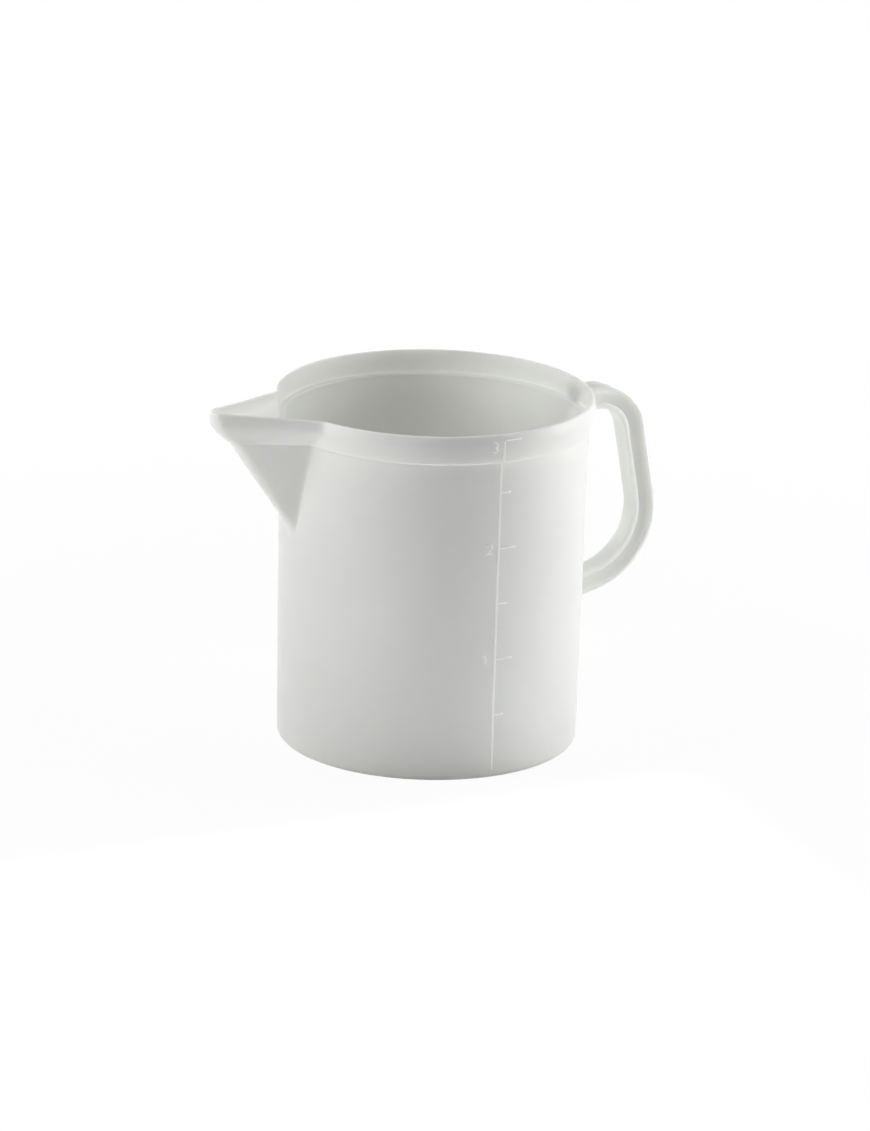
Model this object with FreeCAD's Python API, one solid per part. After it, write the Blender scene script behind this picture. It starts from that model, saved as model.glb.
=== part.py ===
import FreeCAD, Part
import math
import os

# A three litre measuring jug moulded in one shot of polypropylene. It is written as the regions
# that the moulding is made of, which meet face to face. Lengths are in millimetres, angles in
# degrees. +Z is up, the base stands on Z = 0 round the origin, the spout points along -X and the
# handle along +X. The scale is on the -Y side, half way between them.

# Vessel
base_radius = 75.8            # outside of the wall where it meets the ground
body_top_radius = 77.5        # outside of the wall just under the collar
collar_radius = 80.5          # outside of the stepped collar round the mouth
collar_bottom = 164.75        # height of the collar's lower edge
rim_height = 179.0
wall = 2.5
floor_top = 3.6               # the level that the contents stand on
foot_recess = 1.2             # depth of the hollow under the floor
foot_width = 6.0              # width of the ring that the jug stands on
base_edge_radius = 3.0
inner_corner_radius = 5.0
gate_radius = 2.0             # the stub where the plastic entered the mould
gate_height = 0.6

# Spout
spout_reach = 122.4           # centre line of the jug to the pouring lip
lip_tip_radius = 7.5
lip_half_angle = 28.0
lip_height = 4.0              # the upright band of the pouring lip, below the rim's level
lip_step = 0.8                # how far the lip stands proud of the spout under it
lip_rise = 2.0                # the pouring point lies this much above the rim
keel_half_angle = 26.0
keel_foot_height = 114.6      # where the keel leaves the wall
keel_foot_radius = 4.5
keel_top_radius = 7.0
keel_setback = 10.6           # the keel stops this far short of the lip, at the collar's lower edge
tightest_corner = 0.5         # smallest plan radius inside the spout
spout_back = 50.0             # the spout's solids start this far from the centre line

# Handle, an I section that follows a bent centre line
handle_depth = 11.5           # across the section, from the palm side to the finger side
handle_top_height = 168.4     # centre line of the upper arm
handle_top_corner = 108.1
handle_top_bend = 19.5
handle_reach = spout_reach    # the jug is as long on the handle's side as on the spout's
handle_low_corner = 124.4
handle_low_corner_height = 81.6
handle_low_bend = 37.2
handle_low_slope = 0.27       # fall of the lower arm for each millimetre towards the wall
handle_root = 55.0            # the arms start inside the vessel, and are trimmed at its wall
outer_flange_width = 14.6
outer_flange_thickness = 4.6
inner_flange_width = 12.4
inner_flange_thickness = 2.4
web_thickness = 9.6           # leaves a shallow groove along each side
flange_edge_radius = 1.0

# Scale
relief = 0.4                  # how far the marks stand out of the wall
mark_width = 1.0
line_bottom = 4.0
line_top_gap = 3.0            # from the scale line's top to the rim
long_mark = 8.7
short_mark = 5.0
capacity_step = 500000.0      # cubic millimetres from one mark to the next
step_count = 6
halvings = 50                 # how finely a mark's height is worked out
numeral_height = 6.0
numeral_width = 4.0
numeral_stroke = 0.9
numeral_gap = 3.0             # from the scale line to the numerals
two_start = 160               # the crown of the 2 runs between these two angles
two_end = -35
three_start = 150             # each bowl of the 3 opens at this angle

# Sizes that follow
base_inner_radius = base_radius - wall
ledge_height = collar_bottom + wall
lip_top = rim_height + lip_rise
keel_top_reach = spout_reach - keel_setback
big = 400.0                   # reaches past the whole jug
touching = 0.01               # closer than this counts as the same place


def point(x, y, z):
    return FreeCAD.Vector(x, y, z)


def slab(low, high):
    """Everything between two heights."""
    return Part.makeBox(big, big, high - low, point(-big / 2, -big / 2, low))


def turned(profile):
    """A solid of revolution from points given as (radius, height)."""
    corners = [point(r, 0, z) for r, z in profile]
    face = Part.Face(Part.makePolygon(corners + corners[:1]))
    return face.revolve(point(0, 0, 0), point(0, 0, 1), 360)


def round_circle(solid, radius, height, size):
    """Rounds the circular edge of that radius and height."""
    chosen = []
    for edge in solid.Edges:
        box = edge.BoundBox
        level = abs(box.ZMin - height) < touching and abs(box.ZMax - height) < touching
        if level and abs(box.XMax - radius) < touching:
            chosen.append(edge)
    return solid.makeFillet(size, chosen)


def outer_radius(height):
    """Outside of the tapered wall."""
    return base_radius + (body_top_radius - base_radius) * height / collar_bottom


# ---- Vessel, as a filled outside and the space inside it ----

def vessel_outside(skin=0.0):
    """The filled outside, or the same grown by a skin for the raised marks."""
    step = collar_bottom - skin
    solid = turned([
        (0, 0),
        (base_radius + skin, 0),
        (outer_radius(step) + skin, step),
        (collar_radius + skin, step),
        (collar_radius + skin, rim_height),
        (0, rim_height),
    ])
    return round_circle(solid, base_radius + skin, 0, base_edge_radius)


def vessel_inside():
    top = lip_top + wall
    solid = turned([
        (0, floor_top),
        (outer_radius(floor_top) - wall, floor_top),
        (outer_radius(ledge_height) - wall, ledge_height),
        (collar_radius - wall, ledge_height),
        (collar_radius - wall, top),
        (0, top),
    ])
    return round_circle(solid, outer_radius(floor_top) - wall, floor_top, inner_corner_radius)


# ---- Spout, lofted between plan sections that are a V with a round tip ----

def plan_section(height, centre, radius, half_angle):
    """The V's sides touch an arc about the point centre from the axis, on the spout's side."""
    angle = math.radians(half_angle)
    touch_x = -centre - radius * math.sin(angle)
    touch_y = radius * math.cos(angle)
    apex = centre + radius / math.sin(angle)
    back_y = (apex - spout_back) * math.tan(angle)
    back_left = point(-spout_back, back_y, height)
    back_right = point(-spout_back, -back_y, height)
    touch_left = point(touch_x, touch_y, height)
    touch_right = point(touch_x, -touch_y, height)
    tip = point(-centre - radius, 0, height)
    return Part.Wire([
        Part.LineSegment(back_left, touch_left).toShape(),
        Part.Arc(touch_left, tip, touch_right).toShape(),
        Part.LineSegment(touch_right, back_right).toShape(),
        Part.LineSegment(back_right, back_left).toShape(),
    ])


def between(low, high, share):
    return low + (high - low) * share


def keel_at(height):
    """Centre and radius of the spout's round keel, in plan, at a height."""
    share = (height - keel_foot_height) / (collar_bottom - keel_foot_height)
    foot_centre = outer_radius(keel_foot_height) - keel_foot_radius
    centre = between(foot_centre, keel_top_reach - keel_top_radius, share)
    return centre, between(keel_foot_radius, keel_top_radius, share)


def lip_at(height):
    """Centre and radius of the lip's round tip, in plan, at a height."""
    bend = rim_height - lip_height
    share = min((height - collar_bottom) / (bend - collar_bottom), 1.0)
    centre = between(keel_top_reach - keel_top_radius, spout_reach - lip_tip_radius, share)
    return centre, between(keel_top_radius + lip_step, lip_tip_radius, share)


def lofted(heights, section_at, half_angle, inset):
    """A solid through the sections at those heights, drawn in by inset."""
    wires = []
    for height in heights:
        centre, radius = section_at(height)
        wires.append(plan_section(height, centre, max(radius - inset, tightest_corner), half_angle))
    return Part.makeLoft(wires, True, True)


def spout_space(inset, step_height, top):
    """The filled outside of the spout, or with inset = wall the channel inside it."""
    foot = keel_foot_height - 2 * wall
    keel = lofted([foot, step_height], keel_at, keel_half_angle, inset)
    lip = lofted([step_height, rim_height - lip_height, top], lip_at, lip_half_angle, inset)
    return keel.fuse(lip)


def lip_trim():
    """What is cut off above the lip, so that it rises from the rim to the pouring point."""
    start = collar_radius * math.cos(math.radians(keel_half_angle))
    slope = lip_rise / (spout_reach - start)
    far = spout_reach + wall
    far_height = rim_height + slope * (far - start)
    corners = [
        point(0, -big / 2, rim_height),
        point(-start, -big / 2, rim_height),
        point(-far, -big / 2, far_height),
        point(-far, -big / 2, far_height + wall),
        point(0, -big / 2, far_height + wall),
    ]
    return Part.Face(Part.makePolygon(corners + corners[:1])).extrude(point(0, big, 0))


# ---- Handle, offsets of one bent centre line in the XZ plane ----

def handle_path(offset):
    """Edges of the centre line moved outwards by offset, as three lines and two arcs."""
    low_x = handle_root
    low_z = handle_low_corner_height - handle_low_slope * (handle_low_corner - low_x)
    corners = [
        (handle_root, handle_top_height),
        (handle_top_corner, handle_top_height),
        (handle_low_corner, handle_low_corner_height),
        (low_x, low_z),
    ]
    bends = [handle_top_bend + offset, handle_low_bend + offset]
    runs = []
    for (x0, z0), (x1, z1) in zip(corners, corners[1:]):
        length = math.hypot(x1 - x0, z1 - z0)
        runs.append(((x1 - x0) / length, (z1 - z0) / length))
    outward = [(-dz, dx) for dx, dz in runs]
    here = (corners[0][0] + outward[0][0] * offset, corners[0][1] + outward[0][1] * offset)
    edges = []
    for i, bend in enumerate(bends):
        (ax, az), (bx, bz) = runs[i], runs[i + 1]
        turn = math.acos(ax * bx + az * bz)
        mitre = offset * math.tan(turn / 2)
        corner_x = corners[i + 1][0] + outward[i][0] * offset + ax * mitre
        corner_z = corners[i + 1][1] + outward[i][1] * offset + az * mitre
        reach = bend * math.tan(turn / 2)
        start = (corner_x - ax * reach, corner_z - az * reach)
        end = (corner_x + bx * reach, corner_z + bz * reach)
        centre = (start[0] - outward[i][0] * bend, start[1] - outward[i][1] * bend)
        middle_x, middle_z = corner_x - centre[0], corner_z - centre[1]
        scale = bend / math.hypot(middle_x, middle_z)
        middle = (centre[0] + middle_x * scale, centre[1] + middle_z * scale)
        edges.append(Part.LineSegment(point(here[0], 0, here[1]), point(start[0], 0, start[1])).toShape())
        arc = Part.Arc(*[point(x, 0, z) for x, z in (start, middle, end)])
        edges.append(arc.toShape())
        here = end
    last = (corners[3][0] + outward[2][0] * offset, corners[3][1] + outward[2][1] * offset)
    edges.append(Part.LineSegment(point(here[0], 0, here[1]), point(last[0], 0, last[1])).toShape())
    return edges


def handle_bar(outside, inside, width):
    """A bar of that width in Y, between two offsets of the centre line."""
    outer_edges = handle_path(outside)
    inner_edges = handle_path(inside)
    top_cap = Part.LineSegment(outer_edges[0].Vertexes[0].Point, inner_edges[0].Vertexes[0].Point)
    low_cap = Part.LineSegment(outer_edges[-1].Vertexes[-1].Point, inner_edges[-1].Vertexes[-1].Point)
    loop = Part.__sortEdges__(outer_edges + inner_edges + [top_cap.toShape(), low_cap.toShape()])
    bar = Part.Face(Part.Wire(loop)).extrude(point(0, width, 0))
    bar.translate(point(0, -width / 2, 0))
    return bar


def soften(bar, width):
    """Rounds the bar's long edges."""
    long_edges = []
    for edge in bar.Edges:
        box = edge.BoundBox
        on_side = abs(abs(box.YMin) - width / 2) < touching and box.YLength < touching
        if on_side and edge.Length > handle_depth:
            long_edges.append(edge)
    return bar.makeFillet(flange_edge_radius, long_edges)


def handle_parts():
    palm = handle_depth / 2
    web_outside = palm - outer_flange_thickness
    web_inside = inner_flange_thickness - palm
    outer_flange = soften(handle_bar(palm, web_outside, outer_flange_width), outer_flange_width)
    inner_flange = soften(handle_bar(web_inside, -palm, inner_flange_width), inner_flange_width)
    web = handle_bar(web_outside, web_inside, web_thickness)
    farthest = outer_flange.optimalBoundingBox(False, False).XMax
    shift = point(handle_reach - farthest, 0, 0)
    for bar in (outer_flange, inner_flange, web):
        bar.translate(shift)
    return outer_flange, inner_flange, web


# ---- Scale, cut from a skin over the wall ----

def volume_below(height):
    """What the round vessel holds up to a height."""
    top = min(height, ledge_height)
    low, high = outer_radius(floor_top) - wall, outer_radius(top) - wall
    frustum = math.pi / 3 * (top - floor_top) * (low * low + low * high + high * high)
    return frustum + math.pi * (collar_radius - wall) ** 2 * max(height - ledge_height, 0)


def height_of(volume):
    """Height that a volume fills the vessel to, by halving."""
    low, high = floor_top, rim_height
    for _ in range(halvings):
        middle = (low + high) / 2
        if volume_below(middle) < volume:
            low = middle
        else:
            high = middle
    return low


def block(left, right, low, high):
    """A block through the skin on the scale's side. Left is towards the spout."""
    return Part.makeBox(right - left, big / 2, high - low, point(left, -big / 2, low))


def line(x0, z0, x1, z1):
    return Part.LineSegment(point(x0, 0, z0), point(x1, 0, z1)).toShape()


def arc(x, z, radius, first, last):
    """An arc about (x, z) between two angles, in degrees from +X towards +Z."""
    angles = [math.radians(a) for a in (first, (first + last) / 2, last)]
    points = [point(x + radius * math.cos(a), 0, z + radius * math.sin(a)) for a in angles]
    return Part.Arc(*points).toShape()


def numeral_strokes(digit, left, low):
    """Centre lines of the strokes of 1, 2 or 3, standing on low and starting at left."""
    half = numeral_stroke / 2
    left, right = left + half, left + numeral_width - half
    low, high = low + half, low + numeral_height - half
    middle = (left + right) / 2
    bowl = (high - low) / 4
    if digit == 1:
        flag = line(middle - bowl, high - bowl, middle, high)
        return [[flag, line(middle, high, middle, low)]]
    if digit == 2:
        crown = (right - left) / 2
        end_x = middle + crown * math.cos(math.radians(two_end))
        end_z = high - crown + crown * math.sin(math.radians(two_end))
        top = arc(middle, high - crown, crown, two_start, two_end)
        return [[top, line(end_x, end_z, left, low), line(left, low, right, low)]]
    upper = arc(middle, high - bowl, bowl, three_start, -90)
    lower = arc(middle, low + bowl, bowl, 90, -three_start)
    return [[upper], [lower]]


def numeral(digit, skin, height):
    """A raised numeral, left of the scale line and centred on a height, or just clear of the rim."""
    left = -numeral_gap - numeral_width
    low = min(height - numeral_height / 2, rim_height - line_top_gap - numeral_height)
    strokes = []
    for edges in numeral_strokes(digit, left, low):
        outline = Part.Wire(edges).makeOffset2D(numeral_stroke / 2)
        strokes.append(Part.Face(outline).extrude(point(0, -big / 2, 0)))
    shape = strokes[0]
    for stroke in strokes[1:]:
        shape = shape.fuse(stroke)
    return shape.common(skin)


def mark(skin, height, length):
    """A raised tick that starts at the scale line and runs towards the handle."""
    half = mark_width / 2
    return block(half, half + length, height - half, height + half).common(skin)


# ---- The regions of the moulding ----

def keep(name, shape):
    """Writes a node, whose shape is one or more closed solids."""
    solids = [solid for solid in shape.removeSplitter().Solids if solid.Volume > 0.05]
    if not solids or not all(solid.isValid() for solid in solids):
        raise ValueError(name + " has no valid solid")
    whole = solids[0] if len(solids) == 1 else Part.makeCompound(solids)
    whole.exportStep("parts/" + name + ".step")
    print(name, len(solids), "solid(s)", round(whole.Volume / 1000, 2), "cm3")


os.makedirs("parts", exist_ok=True)

outside = vessel_outside()
hollow = Part.makeCylinder(base_radius - foot_width, foot_recess)
gate = Part.makeCylinder(gate_radius, gate_height, point(0, 0, foot_recess - gate_height))
body = outside.cut(hollow).fuse(gate)
space = vessel_inside().fuse(spout_space(wall, ledge_height, lip_top + wall))
round_part = body.cut(space)
spout_part = spout_space(0, collar_bottom, lip_top).cut(outside).cut(space).cut(lip_trim())

floor_zone = Part.makeCylinder(base_inner_radius, floor_top + inner_corner_radius)
below_collar = round_part.common(slab(foot_recess, collar_bottom))
foot_zone = slab(0, foot_recess).cut(Part.makeCylinder(base_radius - foot_width, foot_recess))

keep("foot_ring", round_part.common(foot_zone))
keep("vessel_floor", round_part.common(floor_zone).cut(foot_zone))
keep("vessel_wall", below_collar.cut(floor_zone))
keep("rim_collar", round_part.common(slab(collar_bottom, rim_height)))
keep("spout_lip", spout_part.common(slab(collar_bottom, lip_top)))
keep("spout_body", spout_part.common(slab(0, collar_bottom)))

for name, bar in zip(("handle_outer_flange", "handle_inner_flange", "handle_web"), handle_parts()):
    keep(name, bar.cut(outside))

skin = vessel_outside(relief).cut(outside)
half_line = mark_width / 2
keep("scale_line", block(-half_line, half_line, line_bottom, rim_height - line_top_gap).common(skin))
heights = [height_of(capacity_step * count) for count in range(1, step_count + 1)]
keep("litre_marks", Part.makeCompound([mark(skin, height, long_mark) for height in heights[1::2]]))
keep("half_litre_marks", Part.makeCompound([mark(skin, height, short_mark) for height in heights[0::2]]))
for litres, height in enumerate(heights[1::2], start=1):
    keep("numeral_" + str(litres), numeral(litres, skin, height))
print("marks at", [round(height, 1) for height in heights])
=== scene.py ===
import math

import bmesh
import bpy
from mathutils import Matrix, Vector


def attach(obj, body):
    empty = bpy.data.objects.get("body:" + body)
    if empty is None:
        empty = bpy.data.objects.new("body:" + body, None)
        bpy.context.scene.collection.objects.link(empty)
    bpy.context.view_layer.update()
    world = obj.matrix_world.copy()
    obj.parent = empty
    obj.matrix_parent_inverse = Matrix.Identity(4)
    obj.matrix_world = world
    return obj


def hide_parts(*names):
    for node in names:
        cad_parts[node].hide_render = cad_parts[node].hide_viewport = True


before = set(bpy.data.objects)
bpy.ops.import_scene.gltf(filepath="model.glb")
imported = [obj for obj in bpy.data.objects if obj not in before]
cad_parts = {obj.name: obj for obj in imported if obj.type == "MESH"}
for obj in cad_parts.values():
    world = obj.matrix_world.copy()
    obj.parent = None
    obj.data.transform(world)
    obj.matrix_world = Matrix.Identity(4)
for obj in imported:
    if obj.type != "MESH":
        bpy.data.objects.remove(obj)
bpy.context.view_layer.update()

# A three litre measuring jug, moulded in one shot of natural white polypropylene. Lengths are in
# millimetres until a piece is finished, +Z is up, the spout points along -X, the handle along +X
# and the raised scale is on the -Y side.


# ---- Vessel ----
# The round wall, floor, foot ring, stepped collar and spout are one skin of even thickness,
# formed between the mould's cavity and its core. It is turned from its section, and the part of
# the turn that faces the spout is then drawn out into the keel and the pouring lip.

BASE_RADIUS = 75.8
BODY_TOP_RADIUS = 77.5
COLLAR_RADIUS = 80.5
COLLAR_BOTTOM = 164.75
SHOULDER_HEIGHT = 174.0       # the collar is widest here, and leans in a little above and below
SHOULDER_LEAN = 1.0
COLLAR_LEAN = 0.4
RIM_HEIGHT = 179.0
WALL = 2.5
FLOOR_TOP = 3.6
FOOT_RECESS = 1.2
FOOT_WIDTH = 6.0
GATE_RADIUS = 2.0
GATE_HEIGHT = 0.6

SPOUT_REACH = 122.4
LIP_TIP_RADIUS = 7.5
LIP_HALF_ANGLE = 26.0
LIP_HEIGHT = 6.5
LIP_PROUD = 0.8
LIP_RISE = 2.0
KEEL_HALF_ANGLE = 21.0
KEEL_FOOT_HEIGHT = 114.6
KEEL_FOOT_RADIUS = 4.5
KEEL_TOP_RADIUS = 7.0
KEEL_TOP_REACH = 111.8
KEEL_LEAD_IN = 10.0           # the section is cut finely from this far below the keel's foot
TIGHTEST_CORNER = 0.5

SPOUT_ZONE = 48.0             # degrees each side of the spout that are drawn out
SPOUT_STEPS = 96              # steps of the turn on each side of the spout
ROUND_STEPS = 208             # steps of the rest of the turn
TIP_CROWDING = 1.5            # over 1 crowds the steps towards the spout's tip
CREASE_BLEND = 2.0            # how softly the spout runs out of the wall
LIP_BLEND = 6.0               # how softly the slope under the lip turns upright
BLEND_BELOW = 12.0            # the turn stays round lower than this under the keel's foot
STEP_FADE = 34.0              # the collar's step fades over this length of the spout


def linear(hex_colour):
    """An sRGB hex colour as the linear RGBA that shaders take."""
    channels = [int(hex_colour[i:i + 2], 16) / 255 for i in (1, 3, 5)]
    curve = [c / 12.92 if c <= 0.04045 else ((c + 0.055) / 1.055) ** 2.4 for c in channels]
    return (*curve, 1.0)


def add_node(tree, kind, settings=None, links=None):
    """Adds a node, sets its properties and its inputs, and links sockets into its inputs. An input
    goes by its name, or by its number where a node has several of one name."""
    node = tree.nodes.new(kind)
    for name, value in (settings or {}).items():
        if isinstance(name, int) or name in node.inputs:
            node.inputs[name].default_value = value
        else:
            setattr(node, name, value)
    for name, socket in (links or {}).items():
        tree.links.new(socket, node.inputs[name])
    return node


def polypropylene(name, colour, shade, roughness, depth):
    """Moulded polypropylene. Light goes a few millimetres into the milky resin, so edges and thin
    walls glow a little, and the surface has the silky gloss of a lightly blasted mould."""
    material = bpy.data.materials.new(name)
    material.use_nodes = True
    tree = material.node_tree
    tree.nodes.clear()
    place = add_node(tree, "ShaderNodeTexCoord").outputs["Object"]
    # Resin that cooled at different speeds clouds faintly, over about 40 mm.
    cloud = add_node(tree, "ShaderNodeTexNoise", {"Scale": 25.0, "Detail": 3.0, "Roughness": 0.5},
                     {"Vector": place})
    tone = add_node(tree, "ShaderNodeMix", {"data_type": "RGBA"}, {"Factor": cloud.outputs["Fac"]})
    tone.inputs["A"].default_value = linear(colour)
    tone.inputs["B"].default_value = linear(shade)
    # The blasted mould leaves grains about 0.8 mm apart, drawn at twice their real size.
    grain = add_node(tree, "ShaderNodeTexNoise", {"Scale": 700.0, "Detail": 2.0}, {"Vector": place})
    gloss = add_node(tree, "ShaderNodeMapRange", {"To Min": roughness - 0.04, "To Max": roughness + 0.05},
                     {"Value": cloud.outputs["Fac"]})
    bump = add_node(tree, "ShaderNodeBump", {"Strength": 0.06, "Distance": 0.0003},
                    {"Height": grain.outputs["Fac"]})
    shader = add_node(tree, "ShaderNodeBsdfPrincipled", {
        "IOR": 1.49,
        "Subsurface Weight": 1.0 if depth else 0.0,
        "Subsurface Radius": (1.0, 1.0, 0.95),
        "Subsurface Scale": depth,
    }, {"Base Color": tone.outputs["Result"], "Roughness": gloss.outputs["Result"],
        "Normal": bump.outputs["Normal"]})
    add_node(tree, "ShaderNodeOutputMaterial", {}, {"Surface": shader.outputs["BSDF"]})
    return material


def finish_piece(bm, name, material, nodes):
    """Turns the millimetre mesh into a smooth piece in metres that stands for its CAD nodes."""
    bmesh.ops.remove_doubles(bm, verts=bm.verts, dist=0.002)
    bmesh.ops.dissolve_degenerate(bm, edges=bm.edges, dist=0.001)
    bmesh.ops.holes_fill(bm, edges=[edge for edge in bm.edges if edge.is_boundary], sides=0)
    bmesh.ops.recalc_face_normals(bm, faces=bm.faces)
    bmesh.ops.scale(bm, vec=(0.001, 0.001, 0.001), verts=bm.verts)
    for face in bm.faces:
        face.smooth = True
    mesh = bpy.data.meshes.new(name)
    bm.to_mesh(mesh)
    bm.free()
    mesh.materials.append(material)
    piece = bpy.data.objects.new(name, mesh)
    bpy.context.scene.collection.objects.link(piece)
    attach(piece, "root")
    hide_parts(*nodes)
    return piece


def between(low, high, share):
    """The value a share of the way from low to high."""
    return low + (high - low) * share


def wall_radius(height):
    """Outside of the tapered wall, carried on upwards inside the collar."""
    return between(BASE_RADIUS, BODY_TOP_RADIUS, height / COLLAR_BOTTOM)


def collar_radius(height):
    """Outside of the collar, which swells to a soft shoulder near its top."""
    if height < SHOULDER_HEIGHT:
        share = (height - COLLAR_BOTTOM) / (SHOULDER_HEIGHT - COLLAR_BOTTOM)
        return COLLAR_RADIUS - COLLAR_LEAN * (1 - share)
    return COLLAR_RADIUS - SHOULDER_LEAN * (height - SHOULDER_HEIGHT) / (RIM_HEIGHT - SHOULDER_HEIGHT)


def soft_max(a, b, blend):
    """The larger of two lengths, with a round blend where they cross."""
    near = max(blend - abs(a - b), 0.0) / blend
    return max(a, b) + near * near * blend / 4


def spout_plan(height):
    """Reach, tip radius and half angle in degrees of the spout's V shaped plan at a height."""
    foot_reach = wall_radius(KEEL_FOOT_HEIGHT)
    if height <= COLLAR_BOTTOM:
        share = (height - KEEL_FOOT_HEIGHT) / (COLLAR_BOTTOM - KEEL_FOOT_HEIGHT)
        reach = between(foot_reach, KEEL_TOP_REACH, share)
        return reach, between(KEEL_FOOT_RADIUS, KEEL_TOP_RADIUS, share), KEEL_HALF_ANGLE
    share = (height - COLLAR_BOTTOM) / (RIM_HEIGHT - LIP_HEIGHT - COLLAR_BOTTOM)
    lip_reach = SPOUT_REACH - LIP_PROUD
    slope_reach = between(KEEL_TOP_REACH, lip_reach, share)
    reach = -soft_max(-slope_reach, -lip_reach, LIP_BLEND)
    share = (reach - KEEL_TOP_REACH) / (lip_reach - KEEL_TOP_REACH)
    radius = between(KEEL_TOP_RADIUS, LIP_TIP_RADIUS, share)
    return reach, radius, between(KEEL_HALF_ANGLE, LIP_HALF_ANGLE, share)


def spout_surface(angle, height, inset):
    """Distance from the centre line to the spout's surface, drawn in by inset, at an angle in
    radians from the spout's own direction."""
    reach, radius, half_angle = spout_plan(height)
    centre = reach - radius
    radius = max(radius - inset, TIGHTEST_CORNER)
    half = math.radians(half_angle)
    touch = math.atan2(radius * math.cos(half), centre + radius * math.sin(half))
    if angle < touch:
        across = centre * math.sin(angle)
        return centre * math.cos(angle) + math.sqrt(radius * radius - across * across)
    return (centre * math.sin(half) + radius) / math.sin(half + angle)


def vessel_section(bm):
    """The section of the skin as a loop of edges, from the axis out, up, over the rim and back."""
    top_radius = wall_radius(COLLAR_BOTTOM)
    ledge = COLLAR_BOTTOM + WALL
    keel_start = KEEL_FOOT_HEIGHT - KEEL_LEAD_IN
    # Each corner is radius, height, the radius it is rounded to, and the cuts on the way to the next.
    corners = [
        (0, FOOT_RECESS - GATE_HEIGHT, 0, 0),
        (GATE_RADIUS, FOOT_RECESS - GATE_HEIGHT, 0.25, 0),
        (GATE_RADIUS, FOOT_RECESS, 0.2, 4),
        (BASE_RADIUS - FOOT_WIDTH, FOOT_RECESS, 0.4, 0),
        (BASE_RADIUS - FOOT_WIDTH, 0, 0.4, 2),
        (BASE_RADIUS, 0, 3.0, 3),
        (wall_radius(keel_start), keel_start, 0, 40),
        (top_radius, COLLAR_BOTTOM, 0.9, 0),
        (collar_radius(COLLAR_BOTTOM), COLLAR_BOTTOM, 0.5, 9),
        (COLLAR_RADIUS, SHOULDER_HEIGHT, 2.5, 2),
        (collar_radius(RIM_HEIGHT), RIM_HEIGHT, 0.8, 0),
        (COLLAR_RADIUS - WALL, RIM_HEIGHT, 0.5, 10),
        (COLLAR_RADIUS - WALL, ledge, 0.8, 0),
        (wall_radius(ledge) - WALL, ledge, 1.0, 42),
        (wall_radius(keel_start) - WALL, keel_start, 0, 3),
        (wall_radius(FLOOR_TOP) - WALL, FLOOR_TOP, 5.0, 8),
        (0, FLOOR_TOP, 0, 0),
    ]
    places = [Vector((-radius, 0, height)) for radius, height, _, _ in corners]
    end = [bm.verts.new(places[0])]
    for start, stop, corner in zip(places, places[1:], corners):
        for _ in range(corner[3] + 1):
            end = bmesh.ops.extrude_vert_indiv(bm, verts=end)["verts"]
            bmesh.ops.translate(bm, vec=(stop - start) / (corner[3] + 1), verts=end)
    for place, corner in zip(places, corners):
        round_corner(bm, place, corner[2])


def round_corner(bm, place, rounding):
    """Rounds the corner of a wire or a face at a place."""
    if rounding:
        corner = min(bm.verts, key=lambda vert: (vert.co - place).length)
        bmesh.ops.bevel(bm, geom=[corner], offset=rounding, offset_type="OFFSET", segments=5,
                        profile=0.5, affect="VERTICES", material=-1)


def build_vessel():
    """Turns the section round the axis, and draws the part that faces the spout out into it."""
    bm = bmesh.new()
    vessel_section(bm)
    axis = dict(cent=(0, 0, 0), axis=(0, 0, 1))
    zone = math.radians(SPOUT_ZONE)
    bmesh.ops.rotate(bm, cent=(0, 0, 0), matrix=Matrix.Rotation(-zone, 3, "Z"), verts=bm.verts)
    turned = bmesh.ops.spin(bm, geom=bm.edges[:] + bm.verts[:], angle=2 * zone,
                            steps=2 * SPOUT_STEPS, use_merge=False, **axis)
    bmesh.ops.spin(bm, geom=turned["geom_last"], angle=2 * math.pi - 2 * zone,
                   steps=ROUND_STEPS, use_merge=False, **axis)
    bmesh.ops.remove_doubles(bm, verts=bm.verts, dist=0.01)

    for vert in bm.verts:
        x, y, z = vert.co
        radius = math.hypot(x, y)
        angle = abs(math.atan2(y, -x))
        if angle >= zone or z < KEEL_FOOT_HEIGHT - BLEND_BELOW:
            continue
        side = math.copysign(1.0, y)
        angle = zone * (angle / zone) ** TIP_CROWDING
        # How far inside the outer surface this point of the section lies.
        if z > COLLAR_BOTTOM + WALL / 2:
            inset = min(WALL, COLLAR_RADIUS - radius)
        else:
            inset = 0.0 if radius > wall_radius(z) - WALL / 2 else WALL
        proud = radius + inset - wall_radius(z)
        drawn = spout_surface(angle, z, inset)
        plain = wall_radius(z) - inset
        out = min(max((drawn - plain) / STEP_FADE, 0.0), 1.0)
        fade = between(1.0, LIP_PROUD / (COLLAR_RADIUS - wall_radius(z)), out * out * (3 - 2 * out))
        radius = soft_max(plain, drawn, CREASE_BLEND) + proud * fade
        lift = (radius - COLLAR_RADIUS) / (SPOUT_REACH - COLLAR_RADIUS)
        lift = LIP_RISE * min(max(lift, 0.0), 1.0)
        up = min(max((z - COLLAR_BOTTOM) / (RIM_HEIGHT - COLLAR_BOTTOM), 0.0), 1.0)
        vert.co = (-radius * math.cos(angle), side * radius * math.sin(angle), z + lift * up)
    return bm


# Painted shade: the vessel is the same resin as the handle, but it is coloured a little darker than the
# handle, so its dimmer look beside the handle is painted into its colour rather than coming from the
# light.
shaded_vessel_pp = polypropylene("polypropylene_vessel_painted_darker", "#ECEDEA", "#E7E8E4", 0.45, 0.005)
finish_piece(build_vessel(), "vessel", shaded_vessel_pp,
             ["vessel_wall", "vessel_floor", "foot_ring", "rim_collar", "spout_lip", "spout_body"])


# ---- Handle ----
# A bent I section: a wide palm flange, a narrower finger flange and a web between them, which
# leaves a groove on each side so that the moulding cools evenly. Its ends swell where they grow
# out of the wall and the collar.

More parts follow.
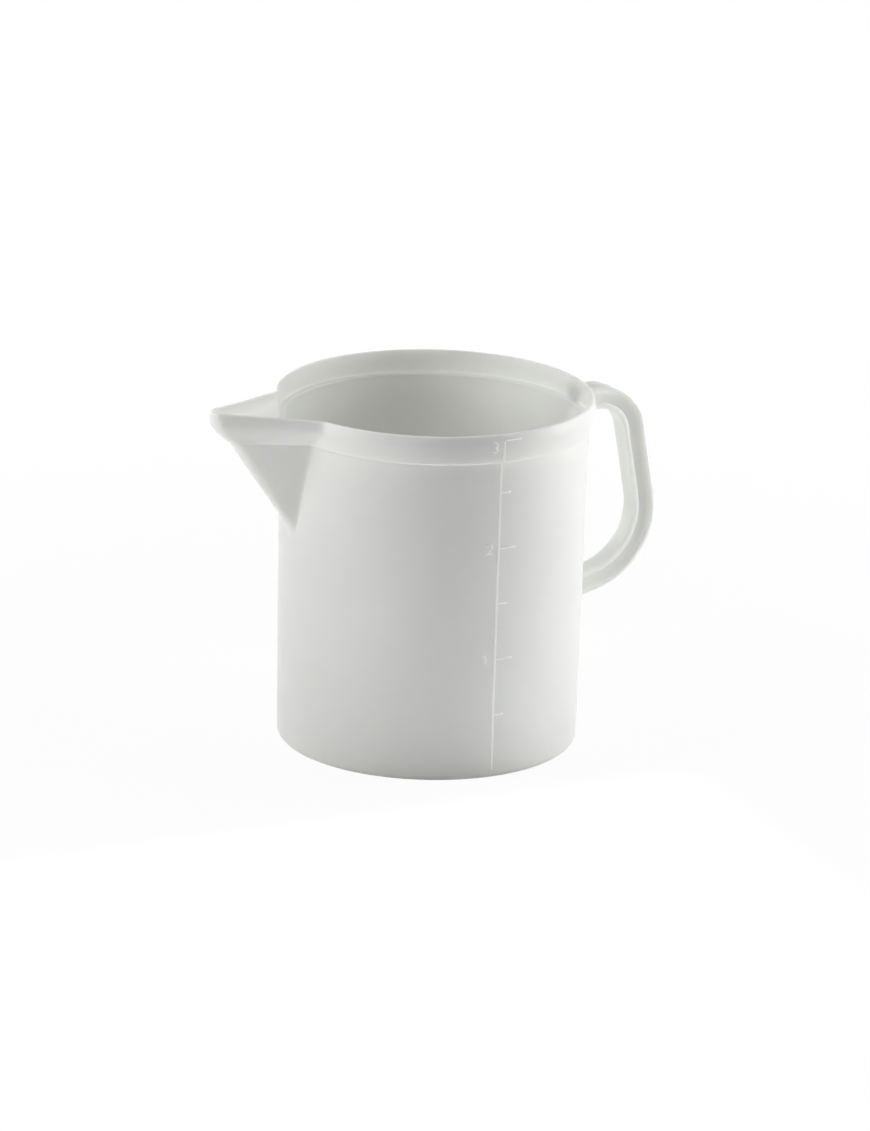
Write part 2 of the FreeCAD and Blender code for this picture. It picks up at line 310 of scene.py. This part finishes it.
HANDLE_DEPTH = 11.5
HANDLE_TOP_HEIGHT = 168.4
HANDLE_TOP_CORNER = 106.1
HANDLE_TOP_BEND = 19.5
HANDLE_LOW_CORNER = 122.3
HANDLE_LOW_CORNER_HEIGHT = 81.6
HANDLE_LOW_BEND = 37.2
HANDLE_LOW_SLOPE = 0.27
PALM_WIDTH = 14.6
PALM_EDGE = 2.2
PALM_THICKNESS = 4.2
FINGER_WIDTH = 12.4
FINGER_THICKNESS = 2.8
WEB_THICKNESS = 9.6
RECESS_DRAFT = 0.6            # the recess is this much shallower at the palm's end
GROOVE_FALL = 0.4             # the step up to the finger flange leans over this depth
FLANGE_ROUNDING = 1.0
FINGER_ROUNDING = 0.6
RECESS_ROUNDING = 1.3
GROOVE_ROUNDING = 0.3
BOSS_LENGTH = 3.5             # the groove is filled this far out from the collar and the wall
BOSS_FADE = 2.5
TOP_ARM_STEPS = 14
BEND_STEPS = 28
GRIP_STEPS = 10
LOW_ARM_STEPS = 24


def handle_section(bm):
    """The handle's section as a face in the YZ plane, centred on the origin with the palm up. On
    each side a slope runs from the palm flange into a shallow recess behind the finger flange."""
    top = HANDLE_DEPTH / 2
    palm, finger, web = PALM_WIDTH / 2, FINGER_WIDTH / 2, WEB_THICKNESS / 2
    flange_back = FINGER_THICKNESS - top
    half = [
        (palm, top, FLANGE_ROUNDING), (palm, top - PALM_EDGE, FLANGE_ROUNDING),
        (web + RECESS_DRAFT, top - PALM_THICKNESS, RECESS_ROUNDING),
        (web, flange_back + GROOVE_FALL, GROOVE_ROUNDING), (finger, flange_back, FINGER_ROUNDING),
        (finger, -top, FLANGE_ROUNDING),
    ]
    corners = half + [(-y, z, r) for y, z, r in reversed(half)]
    bm.faces.new([bm.verts.new((0, y, z)) for y, z, _ in corners])
    for y, z, rounding in corners:
        round_corner(bm, Vector((0, y, z)), rounding)
    return bm.faces[:]


def run_straight(bm, end, way, steps):
    """Extrudes the end faces by the vector way, in equal steps, and returns the new end."""
    for _ in range(steps):
        new = bmesh.ops.extrude_face_region(bm, geom=end)["geom"]
        bmesh.ops.delete(bm, geom=end, context="FACES_ONLY")
        end = [item for item in new if isinstance(item, bmesh.types.BMFace)]
        verts = list({vert for face in end for vert in face.verts})
        bmesh.ops.translate(bm, vec=way / steps, verts=verts)
    return end


def run_round(bm, end, centre, angle, steps):
    """Carries the end faces round a centre in the XZ plane, and returns the new end."""
    edges = list({edge for face in end for edge in face.edges})
    edges = [edge for edge in edges if sum(face in end for face in edge.link_faces) == 1]
    result = bmesh.ops.spin(bm, geom=edges, cent=centre, axis=(0, 1, 0), angle=angle, steps=steps)
    bmesh.ops.delete(bm, geom=end, context="FACES_ONLY")
    rim = [item for item in result["geom_last"] if isinstance(item, bmesh.types.BMEdge)]
    return bmesh.ops.holes_fill(bm, edges=rim, sides=0)["faces"]


def build_handle():
    """Carries the section along the upper arm, the grip and the lower arm."""
    bm = bmesh.new()
    end = handle_section(bm)
    root_x = COLLAR_RADIUS - WALL / 2
    bmesh.ops.translate(bm, vec=(root_x, 0, HANDLE_TOP_HEIGHT), verts=bm.verts)
    # Directions of the upper arm, the grip and the lower arm, and the turn between them.
    top_corner = Vector((HANDLE_TOP_CORNER, 0, HANDLE_TOP_HEIGHT))
    low_corner = Vector((HANDLE_LOW_CORNER, 0, HANDLE_LOW_CORNER_HEIGHT))
    grip = (low_corner - top_corner).normalized()
    arm = Vector((1, 0, 0))
    low = Vector((-1, 0, -HANDLE_LOW_SLOPE)).normalized()
    first_turn = arm.angle(grip)
    second_turn = grip.angle(low)
    first_reach = HANDLE_TOP_BEND * math.tan(first_turn / 2)
    second_reach = HANDLE_LOW_BEND * math.tan(second_turn / 2)

    here = Vector((root_x, 0, HANDLE_TOP_HEIGHT))
    bend = top_corner - arm * first_reach
    end = run_straight(bm, end, bend - here, TOP_ARM_STEPS)
    centre = bend - Vector((0, 0, HANDLE_TOP_BEND))
    end = run_round(bm, end, centre, first_turn, BEND_STEPS)
    here = top_corner + grip * first_reach
    bend = low_corner - grip * second_reach
    end = run_straight(bm, end, bend - here, GRIP_STEPS)
    inward = Vector((grip.z, 0, -grip.x))
    end = run_round(bm, end, bend + inward * HANDLE_LOW_BEND, second_turn, BEND_STEPS)
    here = low_corner + low * second_reach
    stop = here + low * ((here.x - BASE_RADIUS) / -low.x)
    run_straight(bm, end, stop - here, LOW_ARM_STEPS)

    for vert in bm.verts:
        wall = COLLAR_RADIUS if vert.co.z > HANDLE_LOW_CORNER_HEIGHT + HANDLE_DEPTH else BASE_RADIUS
        fill = min(max((BOSS_LENGTH + BOSS_FADE - vert.co.x + wall) / BOSS_FADE, 0.0), 1.0)
        fill *= fill * (3 - 2 * fill)
        missing = FINGER_WIDTH / 2 - abs(vert.co.y)
        if missing > 0:
            vert.co.y += math.copysign(missing * fill, vert.co.y)
    return bm


# Painted light: the handle is the same resin as the vessel, but it is coloured a little lighter than the
# vessel, so its brighter look beside the vessel is painted into its colour rather than coming from the
# light.
lit_handle_pp = polypropylene("polypropylene_handle_painted_lighter", "#F3F4F1", "#EEEFEC", 0.42, 0.003)
finish_piece(build_handle(), "handle", lit_handle_pp,
             ["handle_outer_flange", "handle_inner_flange", "handle_web"])


# ---- Scale ----
# Raised marks, cut as shallow grooves in the mould: an upright line with a long tick at each litre
# and a short one at each half, and a numeral beside each litre. They are drawn flat with X along
# the wall and then bent round it, with their undersides sunk in its surface.

MARK_WIDTH = 1.1
MARK_RELIEF = 0.4
MARK_SINK = 0.2               # the marks start this far under the surface
MARK_ROUNDING = 0.3
LINE_BOTTOM = 4.0
LINE_TOP = 176.0
LONG_TICK = 8.7
SHORT_TICK = 5.0
LITRE_HEIGHTS = (62.3, 120.0, 176.2)
HALF_LITRE_HEIGHTS = (33.1, 91.3, 148.6)
NUMERAL_HEIGHT = 6.0
NUMERAL_WIDTH = 4.0
NUMERAL_STROKE = 0.9
NUMERAL_GAP = 3.0
TWO_START = 170.0             # the arcs of the numerals, in degrees
TWO_END = -35.0
THREE_START = 150.0
THREE_TURN = 240.0
ARC_STEPS = 20
LINE_BELOW_STEP = 0.1         # the line stops this far under the collar's step
LINE_ABOVE_STEP = 0.5         # and starts again this far above it


def start_mark(bm, x, z, way, width):
    """A mark's section at a place on the flat scale, ready to be carried along way. It is level
    with the wall at Y = 0, stands out towards -Y and has rounded outer corners."""
    half = width / 2
    places = [(-half, MARK_SINK), (half, MARK_SINK), (half, -MARK_RELIEF), (-half, -MARK_RELIEF)]
    face = bm.faces.new([bm.verts.new((across, out, 0)) for across, out in places])
    known = set(bm.verts) - set(face.verts)
    bmesh.ops.bevel(bm, geom=face.verts[2:], offset=MARK_ROUNDING, offset_type="OFFSET", segments=2,
                    profile=0.5, affect="VERTICES", material=-1)
    verts = [vert for vert in bm.verts if vert not in known]
    turn = Matrix.Rotation(math.atan2(way.x, way.z), 3, "Y")
    bmesh.ops.rotate(bm, cent=(0, 0, 0), matrix=turn, verts=verts)
    bmesh.ops.translate(bm, vec=(x, 0, z), verts=verts)
    return list({face for vert in verts for face in vert.link_faces})


def straight_mark(bm, x, z, to_x, to_z, width, steps):
    """A bar from one place on the flat scale to another."""
    way = Vector((to_x - x, 0, to_z - z))
    run_straight(bm, start_mark(bm, x, z, way, width), way, steps)


def round_mark(bm, x, z, radius, first, turn):
    """An arc about (x, z) from an angle, in degrees from +X towards +Z, clockwise by turn."""
    first, turn = math.radians(first), math.radians(turn)
    way = Vector((math.sin(first), 0, -math.cos(first)))
    start_x, start_z = x + radius * math.cos(first), z + radius * math.sin(first)
    run_round(bm, start_mark(bm, start_x, start_z, way, NUMERAL_STROKE), (x, 0, z), turn, ARC_STEPS)


def lay_on_wall(bm, radius_at):
    """Bends the flat marks round the wall."""
    for vert in bm.verts:
        x, y, z = vert.co
        radius = radius_at(z)
        vert.co = ((radius - y) * math.sin(x / radius), (y - radius) * math.cos(x / radius), z)


def mark_surface(height):
    """Outside of the wall or the collar, which the marks lie on."""
    return collar_radius(height) if height > COLLAR_BOTTOM else wall_radius(height)


def numeral(digit, height):
    """A numeral left of the scale line, centred on a height or just clear of the rim."""
    bm = bmesh.new()
    half = NUMERAL_STROKE / 2
    left = half - NUMERAL_GAP - NUMERAL_WIDTH
    right = -NUMERAL_GAP - half
    low = min(height - NUMERAL_HEIGHT / 2, LINE_TOP - NUMERAL_HEIGHT) + half
    high = low + NUMERAL_HEIGHT - NUMERAL_STROKE
    middle = (left + right) / 2
    bowl = (high - low) / 4
    if digit == 1:
        straight_mark(bm, middle, low, middle, high, NUMERAL_STROKE, 4)
        straight_mark(bm, middle - bowl, high - bowl, middle, high, NUMERAL_STROKE, 2)
    elif digit == 2:
        crown = (right - left) / 2
        round_mark(bm, middle, high - crown, crown, TWO_START, TWO_START - TWO_END)
        end = math.radians(TWO_END)
        end_x, end_z = middle + crown * math.cos(end), high - crown + crown * math.sin(end)
        straight_mark(bm, end_x, end_z, left, low, NUMERAL_STROKE, 4)
        straight_mark(bm, left - half / 2, low, right + half / 2, low, NUMERAL_STROKE, 4)
    else:
        round_mark(bm, middle, high - bowl, bowl, THREE_START, THREE_TURN)
        round_mark(bm, middle, low + bowl, bowl, 90, THREE_TURN)
    return bm


# Painted highlight: the marks are the wall's own resin, but they are coloured near pure white and get no
# glow, so the light their edges catch is painted into their colour.
marks_painted_highlight_pp = polypropylene("polypropylene_marks_painted_highlight", "#FFFFFD", "#FBFBF8", 0.3, 0.0)

line_marks = bmesh.new()
straight_mark(line_marks, 0, LINE_BOTTOM, 0, COLLAR_BOTTOM - LINE_BELOW_STEP, MARK_WIDTH, 40)
straight_mark(line_marks, 0, COLLAR_BOTTOM + LINE_ABOVE_STEP, 0, LINE_TOP, MARK_WIDTH, 6)
litre_marks = bmesh.new()
for height in LITRE_HEIGHTS:
    straight_mark(litre_marks, 0, height, LONG_TICK + MARK_WIDTH / 2, height, MARK_WIDTH, 8)
half_litre_marks = bmesh.new()
for height in HALF_LITRE_HEIGHTS:
    straight_mark(half_litre_marks, 0, height, SHORT_TICK + MARK_WIDTH / 2, height, MARK_WIDTH, 5)
marks = {"scale_line": line_marks, "litre_marks": litre_marks, "half_litre_marks": half_litre_marks}
for digit, height in enumerate(LITRE_HEIGHTS, start=1):
    marks["numeral_" + str(digit)] = numeral(digit, height)
for name, bm in marks.items():
    lay_on_wall(bm, mark_surface)
    mark = finish_piece(bm, "raised_" + name, marks_painted_highlight_pp, [name])
    # The marks and the wall are one moulding, so the marks don't shade the resin under them.
    mark.visible_shadow = False
    mark.visible_diffuse = False


# ---- Stage ----
# A plain white table with a wide soft lamp on each side, one overhead, a low strip behind and a
# narrow beam that lights the table in front. Distances are in metres from here on.

def lamp(name, place, target, width, height, watts):
    """A white rectangular lamp at a place, turned towards a target."""
    data = bpy.data.lights.new(name, "AREA")
    data.shape = "RECTANGLE"
    data.size = width
    data.size_y = height
    data.energy = watts
    light = bpy.data.objects.new(name, data)
    light.location = place
    light.rotation_euler = (Vector(target) - Vector(place)).to_track_quat("-Z", "Y").to_euler()
    bpy.context.scene.collection.objects.link(light)
    return data


SIDE_OUT = 0.9
LEFT_SWING = -74.0
LEFT_UP = 0.42
RIGHT_SWING = 97.0
RIGHT_UP = 0.22
SIDE_SIZE = 0.5
LEFT_WATTS = 5.2
RIGHT_WATTS = 6.2
TOP_BEHIND = 0.3
TOP_UP = 1.2
TOP_SIZE = 1.0
TOP_WATTS = 5.0
BOUNCE_OUT = 0.42
BOUNCE_UP = 0.3
BOUNCE_SIZE = 0.55
BOUNCE_SPREAD = 8.0
BOUNCE_WATTS = 0.7
BACK_OUT = 0.9
BACK_UP = 0.0
BACK_SWING = -12.0
BACK_WIDTH = 1.0
BACK_HEIGHT = 0.17
BACK_WATTS = 4.0
AMBIENT = 0.05
FLOOR_GAP = 0.0002             # keeps the foot ring and the paper from sharing a plane
PAPER_GLOW = 0.94
PAPER_FADE_START = 0.25
PAPER_FADE_END = 0.6
CAMERA_AZIMUTH = -25.6
CAMERA_ELEVATION = 17.7
CAMERA_DISTANCE = 3.0772
CAMERA_ROLL = 1.55
CAMERA_ASIDE = 0.00228         # the camera looks at a point this far right of the jug's centre line
CAMERA_AIM_HEIGHT = 0.08814
LENS = 194.57
MIDDLE_HEIGHT = 0.09           # the lamps are aimed at this height
TABLE_HALF_WIDTH = 6.0

azimuth = math.radians(CAMERA_AZIMUTH)
elevation = math.radians(CAMERA_ELEVATION)
right = Vector((math.cos(azimuth), math.sin(azimuth), 0))
back = Vector((math.sin(azimuth) * math.cos(elevation), -math.cos(azimuth) * math.cos(elevation),
               math.sin(elevation)))
target = right * CAMERA_ASIDE + Vector((0, 0, CAMERA_AIM_HEIGHT))
camera_data = bpy.data.cameras.new("camera")
camera_data.lens = LENS
camera_data.sensor_width = 36.0
camera_data.clip_end = 20.0
camera = bpy.data.objects.new("camera", camera_data)
camera.location = target + back * CAMERA_DISTANCE
camera.rotation_euler = back.to_track_quat("Z", "Y").to_euler()
camera.rotation_euler.rotate_axis("Z", math.radians(CAMERA_ROLL))
bpy.context.scene.collection.objects.link(camera)
bpy.context.scene.camera = camera

flat_back = Vector((math.sin(azimuth), -math.cos(azimuth), 0))
middle = Vector((0, 0, MIDDLE_HEIGHT))
for name, swing, up, watts in (("side_left", LEFT_SWING, LEFT_UP, LEFT_WATTS),
                               ("side_right", RIGHT_SWING, RIGHT_UP, RIGHT_WATTS)):
    swing = math.radians(swing)
    way = right * math.sin(swing) + flat_back * math.cos(swing)
    place = middle + way * SIDE_OUT + Vector((0, 0, up))
    lamp(name, place, middle, SIDE_SIZE, SIDE_SIZE, watts)
place = flat_back * BOUNCE_OUT + Vector((0, 0, BOUNCE_UP))
down = Vector((0, 0, -1))
bounce = lamp("table_bounce", place, place + down, BOUNCE_SIZE, BOUNCE_SIZE, BOUNCE_WATTS)
bounce.spread = math.radians(BOUNCE_SPREAD)
swing = math.radians(BACK_SWING)
way = right * math.sin(swing) - flat_back * math.cos(swing)
place = middle + way * BACK_OUT + Vector((0, 0, BACK_UP))
lamp("backdrop", place, middle, BACK_WIDTH, BACK_HEIGHT, BACK_WATTS)
place = middle - flat_back * TOP_BEHIND + Vector((0, 0, TOP_UP))
lamp("top", place, middle, TOP_SIZE, TOP_SIZE, TOP_WATTS)


def seen_share(tree):
    """1 for what the camera sees, straight, in a reflection or through glass, and 0 for lighting."""
    path = add_node(tree, "ShaderNodeLightPath")
    share = add_node(tree, "ShaderNodeMath", {"operation": "MAXIMUM"},
                     {0: path.outputs["Is Camera Ray"], 1: path.outputs["Is Glossy Ray"]})
    return add_node(tree, "ShaderNodeMath", {"operation": "MAXIMUM"},
                    {0: share.outputs[0], 1: path.outputs["Is Transmission Ray"]}).outputs[0]


floor_mesh = bpy.data.meshes.new("floor")
bm = bmesh.new()
bmesh.ops.create_grid(bm, x_segments=1, y_segments=1, size=TABLE_HALF_WIDTH)
bmesh.ops.translate(bm, vec=(0, 0, -FLOOR_GAP), verts=bm.verts)
bm.to_mesh(floor_mesh)
bm.free()
floor = bpy.data.objects.new("floor", floor_mesh)
bpy.context.scene.collection.objects.link(floor)
paper = bpy.data.materials.new("table_paper")
paper.use_nodes = True
tree = paper.node_tree
tree.nodes.clear()
matte = add_node(tree, "ShaderNodeBsdfDiffuse", {"Color": linear("#F4F4F4")})
glow = add_node(tree, "ShaderNodeEmission", {"Color": (1, 1, 1, 1), "Strength": 1.0})
# The paper sweeps up into a lit white backdrop, so its shading fades out away from the jug.
place = add_node(tree, "ShaderNodeTexCoord").outputs["Object"]
distance = add_node(tree, "ShaderNodeVectorMath", {"operation": "LENGTH"}, {0: place})
fade = add_node(tree, "ShaderNodeMapRange", {"From Min": PAPER_FADE_START, "From Max": PAPER_FADE_END,
                                             "To Min": PAPER_GLOW, "To Max": 1.0},
                {"Value": distance.outputs["Value"]})
share = add_node(tree, "ShaderNodeMath", {"operation": "MULTIPLY"},
                 {0: seen_share(tree), 1: fade.outputs["Result"]})
mix = add_node(tree, "ShaderNodeMixShader", {},
               {0: share.outputs[0], 1: matte.outputs["BSDF"], 2: glow.outputs["Emission"]})
add_node(tree, "ShaderNodeOutputMaterial", {}, {"Surface": mix.outputs["Shader"]})
floor_mesh.materials.append(paper)

world = bpy.data.worlds.new("studio")
bpy.context.scene.world = world
world.use_nodes = True
tree = world.node_tree
tree.nodes.clear()
strength = add_node(tree, "ShaderNodeMapRange", {"To Min": AMBIENT, "To Max": 1.0},
                    {"Value": seen_share(tree)})
sky = add_node(tree, "ShaderNodeBackground", {"Color": (1, 1, 1, 1)},
               {"Strength": strength.outputs["Result"]})
add_node(tree, "ShaderNodeOutputWorld", {}, {"Surface": sky.outputs["Background"]})

bpy.context.scene.view_settings.view_transform = "Standard"
